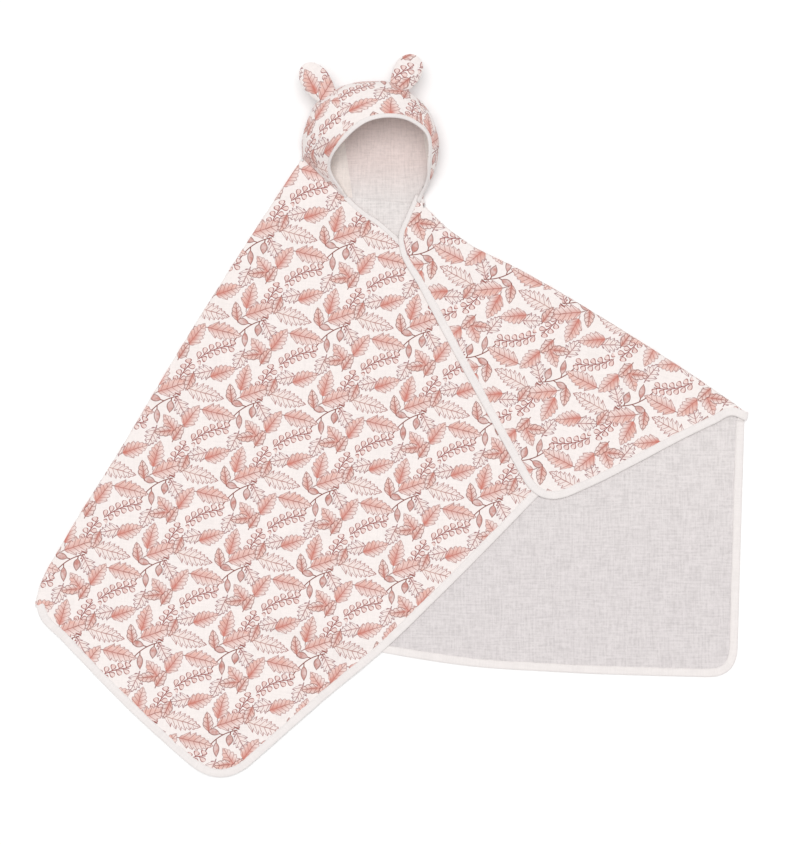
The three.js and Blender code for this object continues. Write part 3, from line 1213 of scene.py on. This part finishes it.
def leaf_group():
    """A leaf along X, from -0.5 at its base to 0.5 at its tip: its wash, outline, ribs and core."""
    numbers = ["Half width", "Teeth", "Tooth depth", "Line", "Veins"]
    tree, given, out = new_group("leaf", numbers, ["Inside", "Wash", "Outline", "Ribs", "Core"])
    value = {label: Field(tree, given[label]) for label in numbers}
    wobble = noise(tree, given["Vector"], 4.0) - 0.5
    x, y = split(tree, given["Vector"])
    y = y + wobble * 0.09
    side = abs(y)
    along = (x + 0.5).least(1.0).most(0.0)
    slant = along - side * 0.8
    tooth = abs((slant * value["Teeth"]).fract() - 0.4) * 1.6
    profile = along.power(0.6) * (along * -1.0 + 1.0).power(0.95) * 2.72
    half_width = profile * value["Half width"] * (value["Tooth depth"] * tooth * -1.0 + 1.0)
    depth = half_width - side
    inside = depth.step(-0.005, 0.03)
    wash = inside * (y.step(-0.14, 0.10) * 0.55 + 0.45)
    outline = (abs(depth) / value["Line"]).step(1.0, 0.3) * abs(x).below(0.51)
    rib = abs((slant * value["Veins"]).fract() - 0.5) / value["Veins"]
    ribs = (rib / value["Line"]).step(0.75, 0.2) * inside * along.step(0.04, 0.15)
    thickness = value["Line"] * (along * -0.8 + 1.2)
    midrib = (side / thickness).step(0.9, 0.4) * x.step(0.44, 0.40) * x.step(-0.64, -0.62)
    core = (side / value["Half width"]).step(0.8, 0.0) * along.step(1.0, 0.1) * inside
    tree.links.new(inside.socket, out["Inside"])
    tree.links.new(wash.socket, out["Wash"])
    tree.links.new(outline.socket, out["Outline"])
    tree.links.new(ribs.most(midrib).socket, out["Ribs"])
    tree.links.new(core.socket, out["Core"])
    return tree


def sprig_group():
    """A curved stem along X, from -0.5 to 0.5, with buds or slim leaves on both sides of it."""
    numbers = ["Count", "Fatness", "Point", "Bend", "Line"]
    tree, given, out = new_group("sprig", numbers, ["Wash", "Outline", "Ribs"])
    value = {label: Field(tree, given[label]) for label in numbers}
    x, y = split(tree, given["Vector"])
    y = y + (x * x - 0.08) * value["Bend"]
    pitch = value["Count"].power(-1.0)
    shifted = x * value["Count"] + y.below(0.0) * 0.5
    along = (shifted.fract() - 0.2) * pitch
    across = abs(y)
    lean = math.radians(52)
    length = pitch * 0.96
    p = (along * math.cos(lean) + across * math.sin(lean)) / length - 0.22
    q = abs(across * math.cos(lean) - along * math.sin(lean)) / length
    inside = p.least(0.8).most(0.0) / 0.8
    bulge = inside.power(0.9) * (inside * -1.0 + 1.0).power(value["Point"]) * value["Fatness"]
    depth = (bulge - q) * length
    ends = abs((shifted - shifted.fract() + 0.5) * pitch).below(0.46)
    stem = (across / value["Line"]).step(0.9, 0.4) * abs(x).step(0.45, 0.43)
    wash = depth.step(0.0, 0.012) * ends
    outline = (abs(depth) / value["Line"]).step(1.0, 0.3) * abs(p - 0.4).below(0.44) * ends
    stalk = (q * length / value["Line"]).step(0.9, 0.4) * abs(p + 0.12).below(0.14) * ends
    tree.links.new(wash.socket, out["Wash"])
    tree.links.new(outline.socket, out["Outline"])
    tree.links.new(stem.most(stalk).socket, out["Ribs"])
    return tree


def nearest_place(tree, cloth, places, size):
    """The cloth's coordinates as the nearest of several repeated motifs has them.

    Each place is (x, y, turn): millimetres in the tile, and degrees.
    """
    best, best_reach = None, None
    for x, y, turn in places:
        offset = vector_math(tree, "SUBTRACT", cloth, (x / 1000, y / 1000, 0))
        high, low = (TILE / 2, TILE / 2, 1.0), (-TILE / 2, -TILE / 2, -1.0)
        wrapped = vector_math(tree, "WRAP", offset, high, low)
        rotate = tree.nodes.new("ShaderNodeVectorRotate")
        rotate.rotation_type = "Z_AXIS"
        rotate.inputs["Angle"].default_value = -math.radians(turn)
        tree.links.new(wrapped, rotate.inputs["Vector"])
        local = vector_math(tree, "SCALE", rotate.outputs[0])
        local.node.inputs["Scale"].default_value = 1 / size
        reach = Field(tree, vector_math(tree, "LENGTH", local))
        if best is None:
            best, best_reach = local, reach
            continue
        choose = tree.nodes.new("ShaderNodeMix")
        choose.data_type = "VECTOR"
        tree.links.new(reach.below(best_reach).socket, choose.inputs[0])
        tree.links.new(best, choose.inputs[4])
        tree.links.new(local, choose.inputs[5])
        best, best_reach = choose.outputs[1], reach.least(best_reach)
    return best


GROUND = srgb(248, 240, 237)
CORAL = srgb(232, 175, 160)
DEEP_CORAL = srgb(208, 124, 110)
RUST = srgb(196, 124, 112)
BLUSH = srgb(232, 190, 181)
BEIGE = srgb(240, 214, 200)
ROSE = srgb(160, 90, 86)
UMBER = srgb(140, 78, 70)
MAUVE = srgb(158, 110, 114)

LEAF = ("Half width", "Teeth", "Tooth depth", "Veins")
SPRIG = ("Count", "Fatness", "Point", "Bend")

# The motifs, lowest first. Each has its size, its shape's numbers, the colour and share of its wash,
# core, outline and ribs, and its places in the tile: x and y in millimetres, and its turn.
MOTIFS = [
    dict(
        kind="sprig", size=0.062, shape=(6.0, 0.88, 0.5, 0.4),
        wash=(BLUSH, 0.75), outline=(ROSE, 0.95), ribs=(ROSE, 1.0),
        places=[(-21, -41, 24), (51, 35, 66)],
    ),
    dict(
        kind="sprig", size=0.064, shape=(2.7, 0.72, 1.0, -0.5),
        wash=(RUST, 0.95), outline=(UMBER, 0.8), ribs=(UMBER, 1.0),
        places=[(24, -6, 218)],
    ),
    dict(
        kind="leaf", size=0.055, shape=(0.25, 7.0, 0.5, 7.0),
        wash=(BLUSH, 0.3), core=(BEIGE, 0.3), outline=(ROSE, 0.85), ribs=(ROSE, 0.8),
        places=[(-32, 15, -12)],
    ),
    dict(
        kind="leaf", size=0.030, shape=(0.40, 4.0, 0.5, 4.0),
        wash=(BEIGE, 0.3), core=(BLUSH, 0.4), outline=(MAUVE, 0.95), ribs=(MAUVE, 0.95),
        places=[(-38, 45, 196), (14, -53, -112), (55, -10, -60)],
    ),
    dict(
        kind="leaf", size=0.050, shape=(0.27, 6.0, 0.35, 6.0),
        wash=(CORAL, 0.85), core=(DEEP_CORAL, 0.6), outline=(ROSE, 0.7), ribs=(UMBER, 0.75),
        places=[(-10, -13, -10), (42, 22, 22)],
    ),
    dict(
        kind="leaf", size=0.039, shape=(0.32, 5.0, 0.3, 6.0),
        wash=(CORAL, 0.85), core=(DEEP_CORAL, 1.0), outline=(ROSE, 0.6), ribs=(UMBER, 0.7),
        places=[(-8, 47, 22), (23, 42, 78), (-50, -19, 56), (41, -35, 128)],
    ),
    dict(
        kind="leaf", size=0.027, shape=(0.29, 3.0, 0.2, 4.0),
        wash=(CORAL, 0.8), core=(RUST, 1.0), outline=(UMBER, 0.7), ribs=(UMBER, 0.85),
        places=[(52, -44, 60), (30, -44, 190), (5, 18, 100), (-56, 30, 250)],
    ),
]


def print_group():
    """The printed cotton's colour, from the cloth's own coordinates in metres."""
    tree = bpy.data.node_groups.new("leaf_print", "ShaderNodeTree")
    tree.interface.new_socket("Cloth", in_out="INPUT", socket_type="NodeSocketVector")
    tree.interface.new_socket("Color", in_out="OUTPUT", socket_type="NodeSocketColor")
    cloth = tree.nodes.new("NodeGroupInput").outputs[0]
    groups = {"leaf": (leaf_group(), LEAF), "sprig": (sprig_group(), SPRIG)}
    blotches = noise(tree, cloth, 110.0, 3.0, 0.6).step(0.30, 0.70)
    colour = GROUND
    for motif in MOTIFS:
        group, labels = groups[motif["kind"]]
        local = nearest_place(tree, cloth, motif["places"], motif["size"])
        numbers = dict(zip(labels, motif["shape"]), Line=LINE / motif["size"])
        masks = use_group(tree, group, local, numbers)
        if "Inside" in masks:
            colour = mix(tree, colour, GROUND, masks.pop("Inside"))
        brush = {"Wash": blotches * 0.6 + 0.4, "Core": blotches * -0.4 + 1.0, "Outline": 1.0, "Ribs": 1.0}
        for label, mask in masks.items():
            paint, share = motif[label.lower()]
            colour = mix(tree, colour, paint, mask * brush[label] * share)
    out = tree.nodes.new("NodeGroupOutput").inputs[0]
    tree.links.new(colour, out)
    return tree


# ---------------------------------------------------------------- the materials


def new_material(name, roughness, sheen):
    material = bpy.data.materials.new(name)
    material.use_nodes = True
    shader = material.node_tree.nodes["Principled BSDF"]
    shader.inputs["Roughness"].default_value = roughness
    shader.inputs["Sheen Weight"].default_value = sheen
    shader.inputs["Sheen Roughness"].default_value = 0.6
    shader.inputs["Specular IOR Level"].default_value = 0.25
    return material, material.node_tree, shader


THREAD_PITCH = 0.0009


def weave(tree, vector, pitch):
    """The threads of a plain weave, from 0 between them to 1 on top of them."""
    x, y = split(tree, vector)
    warp = (x * (2 * math.pi / pitch)).sin()
    weft = (y * (2 * math.pi / pitch)).sin()
    return warp * weft * 0.5 + 0.5


def add_bump(tree, shader, height, distance):
    bump = tree.nodes.new("ShaderNodeBump")
    bump.inputs["Distance"].default_value = distance
    tree.links.new(height.socket, bump.inputs["Height"])
    tree.links.new(bump.outputs["Normal"], shader.inputs["Normal"])


def muslin(name, colour_of, crinkle, crinkle_pitch, shade):
    """Crinkled double muslin.

    colour_of gives its colour from the tree and the cloth's coordinates. crinkle is the relief's
    depth and crinkle_pitch its width, both in metres, and shade is the strength of the painted shade and light that
    follow its relief.
    """
    material, tree, shader = new_material(name, 0.92, 0.12)
    cloth = tree.nodes.new("ShaderNodeUVMap")
    cloth.uv_map = "cloth"
    cloth = cloth.outputs[0]
    creases = noise(tree, cloth, 1 / crinkle_pitch, 3.0, 0.62)
    soft = noise(tree, cloth, 1 / (crinkle_pitch * 4.5), 2.0)
    upright = vector_math(tree, "MULTIPLY", cloth, (1.0, 0.09, 1.0))
    level = vector_math(tree, "MULTIPLY", cloth, (0.09, 1.0, 1.0))
    slubs = (noise(tree, upright, 420.0, 2.0) + noise(tree, level, 420.0, 2.0)) * 0.5
    threads = weave(tree, cloth, THREAD_PITCH)
    add_bump(tree, shader, creases * 0.6 + soft * 0.8 + slubs * 0.7 + threads * 0.04, crinkle)
    # Painted shade and light: the colour is darkened in the relief's low parts and between the threads, and lightened
    # on its high parts.
    dips = creases.step(0.33, 0.60) * 0.8 + soft.step(0.3, 0.65) * 0.5 + slubs.step(0.36, 0.60) * 1.5
    lit = (dips + threads * 0.3) * shade + (1.0 - 1.6 * shade)
    crinkle_shading = tree.nodes.new("ShaderNodeCombineColor")
    for slot in crinkle_shading.inputs[:3]:
        tree.links.new(lit.socket, slot)
    colour = colour_of(tree, cloth)
    tree.links.new(mix(tree, colour, crinkle_shading.outputs[0], 1.0, "MULTIPLY"), shader.inputs["Base Color"])
    return material


def plain(colour):
    """A plain cloth's colour, faintly uneven."""
    darker = tuple(c * 0.96 for c in colour)

    def colour_of(tree, cloth):
        return mix(tree, colour, darker, noise(tree, cloth, 30.0, 3.0))

    return colour_of


def graded(start, end, first, last):
    """A colour that goes from one to the other between two heights on the plan."""
    low, high = plan((0, start), (0, end))[:, 1]

    def colour_of(tree, cloth):
        return mix(tree, srgb(*first), srgb(*last), split(tree, cloth)[1].step(low, high))

    return colour_of


def printed():
    """The leaf print's colour."""
    group = print_group()

    def colour_of(tree, cloth):
        node = tree.nodes.new("ShaderNodeGroup")
        node.node_tree = group
        tree.links.new(cloth, node.inputs[0])
        return node.outputs[0]

    return colour_of


def floor_material():
    material, tree, shader = new_material("studio_floor", 1.0, 0.0)
    place = tree.nodes.new("ShaderNodeTexCoord").outputs["Object"]
    tone = noise(tree, place, 2.0, 2.0)
    tree.links.new(mix(tree, (0.90, 0.90, 0.90), (0.93, 0.93, 0.93), tone), shader.inputs["Base Color"])
    return material


printed_muslin = muslin("printed_muslin", printed(), 0.0011, 0.0060, 0.030)
lining_colour = graded(-0.30, 0.25, (219, 213, 213), (230, 224, 222))
# The gusset of the hood's lining has painted shade: its colour turns darker and warmer from the neck towards the top,
# where the rim overhangs it.
hood_shaded_colour = graded(0.300, 0.375, (229, 223, 221), (231, 216, 212))
white_muslin = muslin("white_muslin", lining_colour, 0.0010, 0.0045, 0.095)
hood_shaded_muslin = muslin("hood_lining_muslin", hood_shaded_colour, 0.0012, 0.0055, 0.080)
# The side panels of the hood's lining take a lighter copy of the same white muslin: painted light.
hood_side_lit_muslin = muslin("hood_side_lining_painted_light", plain(srgb(244, 234, 228)), 0.0010, 0.0050, 0.06)
tape_muslin = muslin("white_tape", plain(srgb(243, 237, 235)), 0.0007, 0.0030, 0.03)
thread = muslin("white_thread", plain(srgb(252, 248, 246)), 0.0001, 0.0010, 0.02)
wadding = muslin("ear_wadding", plain(srgb(250, 246, 242)), 0.0020, 0.0040, 0.05)

# ---------------------------------------------------------------- how the pieces move and what they are


def looks(pieces, material, slot_name):
    for piece in pieces:
        piece.data.materials.clear()
        piece.data.materials.append(material)
        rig.slot(piece, slot_name)


def surface_area(piece):
    return sum(face.area for face in piece.data.polygons)


PANEL_LENGTHS = {"left": 0.24, "gusset": 0.30, "right": 0.20}
PANEL_FILL = 0.8  # how much of the rectangle round it a hood panel's cut fills
EAR_FILL = 0.6


def declare_cloth(piece, held, rests_on, along, hems=()):
    """Declares a flat-cut cloth, measured along and across a direction given in degrees."""
    points = np.array([vertex.co[:2] for vertex in piece.data.vertices])
    angle = math.radians(along)
    long_way = points @ (math.cos(angle), math.sin(angle))
    short_way = points @ (-math.sin(angle), math.cos(angle))
    flat = (float(np.ptp(short_way)), float(np.ptp(long_way)))
    area = surface_area(piece)
    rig.sheet(piece, flat=flat, held=held, rests_on=rests_on, area=area, with_pieces=list(hems))


def declare_panel(piece, length, hems=()):
    """Declares a sewn hood panel, from its length and its area."""
    area = surface_area(piece)
    flat = (area / length / PANEL_FILL, length)
    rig.sheet(piece, flat=flat, held="gathered", rests_on=[], area=area, with_pieces=list(hems))


def pair_across(start, direction, distance):
    end = np.array(start) + np.array([*unit(direction), 0.0]) * distance
    return {"start": tuple(start), "end": tuple(end)}


def fold_band(joint_name, inset, width):
    """The band in which a front turns with its fold, which starts an inset from the hinge's axis."""
    joint = joints[joint_name]
    into_front = unit((-joint["axis"][1], joint["axis"][0]))
    start = (*(np.array(joint["pos_m"][:2]) + into_front * inset), BAND_HEIGHT)
    return pair_across(start, into_front, width)


LEFT_BAND = 0.020
RIGHT_BAND = 0.018
RIGHT_INSET = 0.009  # the crease curves into the front by about this much
LINING_LAG = 0.003  # an opening front turns with its lining outside
HOOD_BAND = 0.075
BAND_HEIGHT = 0.004
NECK_WAY = (0.366, 0.931)  # from the neck seam into the hood
neck_start = (*plan(NECK_RIGHT)[0], BAND_HEIGHT)

back_pieces = [back_outer, back_lining, back_binding, back_stitches]
left_pieces = [left_outer, left_lining, left_binding, left_stitches]
right_pieces = [right_outer, right_lining, right_binding, right_stitches]
hood_pieces = [*hood_outer.values(), *hood_lining.values(), face_binding, face_stitches]

looks([back_outer, left_outer, right_outer, *hood_outer.values()], printed_muslin, "printed_muslin")
looks([back_lining, left_lining, right_lining], white_muslin, "white_muslin")
# The hood's lining is one white muslin, shown as a copy with painted shade on the gusset and a copy with painted light
# on the side panels.
looks([hood_lining["gusset"]], hood_shaded_muslin, "white_muslin")
looks([hood_lining["left"], hood_lining["right"]], hood_side_lit_muslin, "white_muslin")
looks([back_binding, left_binding, right_binding, face_binding], tape_muslin, "white_binding")
looks([back_stitches, left_stitches, right_stitches, face_stitches], thread, "white_binding")
for front, rear, filling in ears.values():
    looks([front, rear], printed_muslin, "printed_muslin")
    looks([filling], wadding, "ear_wadding")

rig.replaces(back_outer, "back_outer_panel")
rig.replaces(back_lining, "back_lining_panel")
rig.replaces(back_binding, "back_hem_binding")
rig.replaces(left_outer, "left_front_outer_panel", "left_fold_outer_panel")
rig.replaces(left_lining, "left_front_lining_panel", "left_fold_lining_panel")
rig.replaces(left_binding, "left_front_binding")
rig.replaces(right_outer, "right_front_outer_panel")
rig.replaces(right_lining, "right_front_lining_panel")
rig.replaces(right_binding, "right_front_binding")
NODE_ENDINGS = {"left": "left_panel", "gusset": "centre_gusset", "right": "right_panel"}
for key, ending in NODE_ENDINGS.items():
    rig.replaces(hood_outer[key], f"hood_outer_{ending}")
    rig.replaces(hood_lining[key], f"hood_lining_{ending}")
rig.replaces(face_binding, "hood_face_binding")
for ear, (front, rear, filling) in ears.items():
    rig.replaces(front, f"{ear}_front")
    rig.replaces(rear, f"{ear}_back")
    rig.replaces(filling, f"{ear}_wadding")

# The directions, in degrees, along which the flat sizes of the leaves are measured.
LEFT_ALONG = 53.3
RIGHT_ALONG = -32.6
HEM_ALONG = -6.0
declare_cloth(back_outer, "laid", ["studio_floor"], HEM_ALONG, [back_binding, back_stitches])
declare_cloth(back_lining, "laid", [back_outer], HEM_ALONG)
declare_cloth(left_outer, "folded", [left_lining], LEFT_ALONG, [left_binding, left_stitches])
declare_cloth(left_lining, "folded", [back_lining], LEFT_ALONG)
declare_cloth(right_outer, "folded", [right_lining], RIGHT_ALONG, [right_binding, right_stitches])
declare_cloth(right_lining, "folded", [left_outer, back_lining], RIGHT_ALONG)
for key, length in PANEL_LENGTHS.items():
    hems = [face_binding, face_stitches] if key == "gusset" else []
    declare_panel(hood_outer[key], length, hems)
    declare_panel(hood_lining[key], length)

for piece in back_pieces:
    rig.ride(piece, "back")
for piece in left_pieces:
    lag = LINING_LAG if piece is left_lining else 0.0
    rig.blend(piece, "back", "left_front", **fold_band("left_front_fold", lag, LEFT_BAND))
for piece in right_pieces:
    lag = LINING_LAG if piece is right_lining else 0.0
    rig.blend(piece, "back", "right_front", **fold_band("right_front_fold", RIGHT_INSET + lag, RIGHT_BAND))
for piece in hood_pieces:
    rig.blend(piece, "back", "hood", **pair_across(neck_start, NECK_WAY, HOOD_BAND))
for ear, ear_pieces in ears.items():
    for piece in ear_pieces:
        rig.ride(piece, ear)
        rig.padded(piece, fill=EAR_FILL)

# ---------------------------------------------------------------- the studio

FLOOR_SIZE = 60.0
floor = make_mesh(
    "studio_floor",
    [(x * FLOOR_SIZE / 2, y * FLOOR_SIZE / 2, 0.0) for x, y in ((-1, -1), (1, -1), (1, 1), (-1, 1))],
    [(0, 1, 2, 3)],
)
floor.data.materials.append(floor_material())
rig.stage(floor)

scene = bpy.context.scene
scene.view_settings.view_transform = "Standard"
world = bpy.data.worlds.new("soft_studio")
world.use_nodes = True
world.node_tree.nodes["Background"].inputs["Color"].default_value = (1.0, 0.99, 0.985, 1.0)
world.node_tree.nodes["Background"].inputs["Strength"].default_value = 0.58
scene.world = world

key = bpy.data.lights.new("key_light", "SUN")
key.energy = 1.85
key.angle = math.radians(40)
key_light = bpy.data.objects.new("key_light", key)
key_light.rotation_euler = Vector((0.05, -0.14, -1.20)).to_track_quat("-Z", "Y").to_euler()
scene.collection.objects.link(key_light)

camera = bpy.data.cameras.new("camera")
camera.sensor_fit = "HORIZONTAL"
camera.sensor_width = CAMERA_SENSOR
camera.lens = CAMERA_LENS
camera.clip_end = 20.0
camera_object = bpy.data.objects.new("camera", camera)
camera_object.location = (*VIEW_POINT, CAMERA_HEIGHT)
scene.collection.objects.link(camera_object)
scene.camera = camera_object

with open("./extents.json", "w") as size_file:
    visual_box = [list(corner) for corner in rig.bounds()]
    json.dump({"cad": cad_box, "visual": visual_box}, size_file, indent=1)
